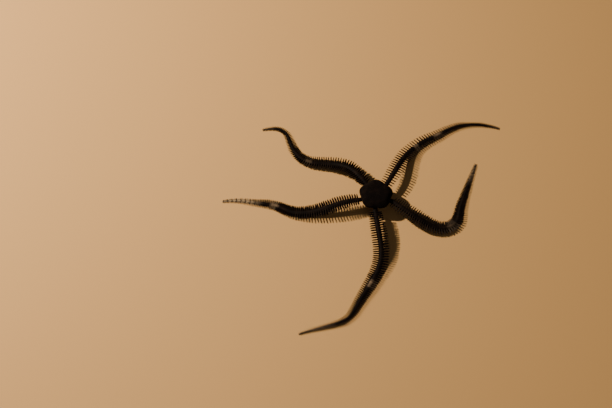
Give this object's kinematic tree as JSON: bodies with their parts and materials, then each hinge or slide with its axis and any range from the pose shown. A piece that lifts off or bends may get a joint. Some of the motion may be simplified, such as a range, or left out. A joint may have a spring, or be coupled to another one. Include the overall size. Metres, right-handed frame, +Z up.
{
  "type": "brittle star",
  "caption": "Life-size brittle star at rest: a domed, rounded five-sided disc raised on long, jointed, spiny arms that sink to the floor and curve along it to thin tips.",
  "frame": {"origin": "middle of the box round the animal, on the floor that it rests on", "axes": "+Z up, through the disc's upper side; +X along the longest spread of the arms, to the right as the picture shows it; +Y away from the picture's camera"},
  "size_m": [0.1708, 0.1463, 0.0116],
  "materials": {
    "disc_skin": "granular black-brown skin, damp",
    "arm_skin": "black-brown plates and spines, damp, a few plates paler grey-brown",
    "arm_tip_skin": "brown plates banded dark and pale",
    "jaw_plate": "pale brown limy plates"
  },
  "bodies": {
    "root": {"disc": "disc_skin", "jaw_1": "jaw_plate", "jaw_2": "jaw_plate", "jaw_3": "jaw_plate", "jaw_4": "jaw_plate", "jaw_5": "jaw_plate", "arm_back_right_base": "arm_skin", "arm_back_right_inner": "arm_skin", "arm_back_right_outer": "arm_skin", "arm_back_right_tip": "arm_tip_skin", "arm_back_left_base": "arm_skin", "arm_back_left_inner": "arm_skin", "arm_back_left_outer": "arm_skin", "arm_back_left_tip": "arm_tip_skin", "arm_left_base": "arm_skin", "arm_left_inner": "arm_skin", "arm_left_outer": "arm_skin", "arm_left_tip": "arm_tip_skin", "arm_front_base": "arm_skin", "arm_front_inner": "arm_skin", "arm_front_outer": "arm_skin", "arm_front_tip": "arm_tip_skin", "arm_right_base": "arm_skin", "arm_right_inner": "arm_skin", "arm_right_outer": "arm_skin", "arm_right_tip": "arm_tip_skin"}
  },
  "joints": []
}
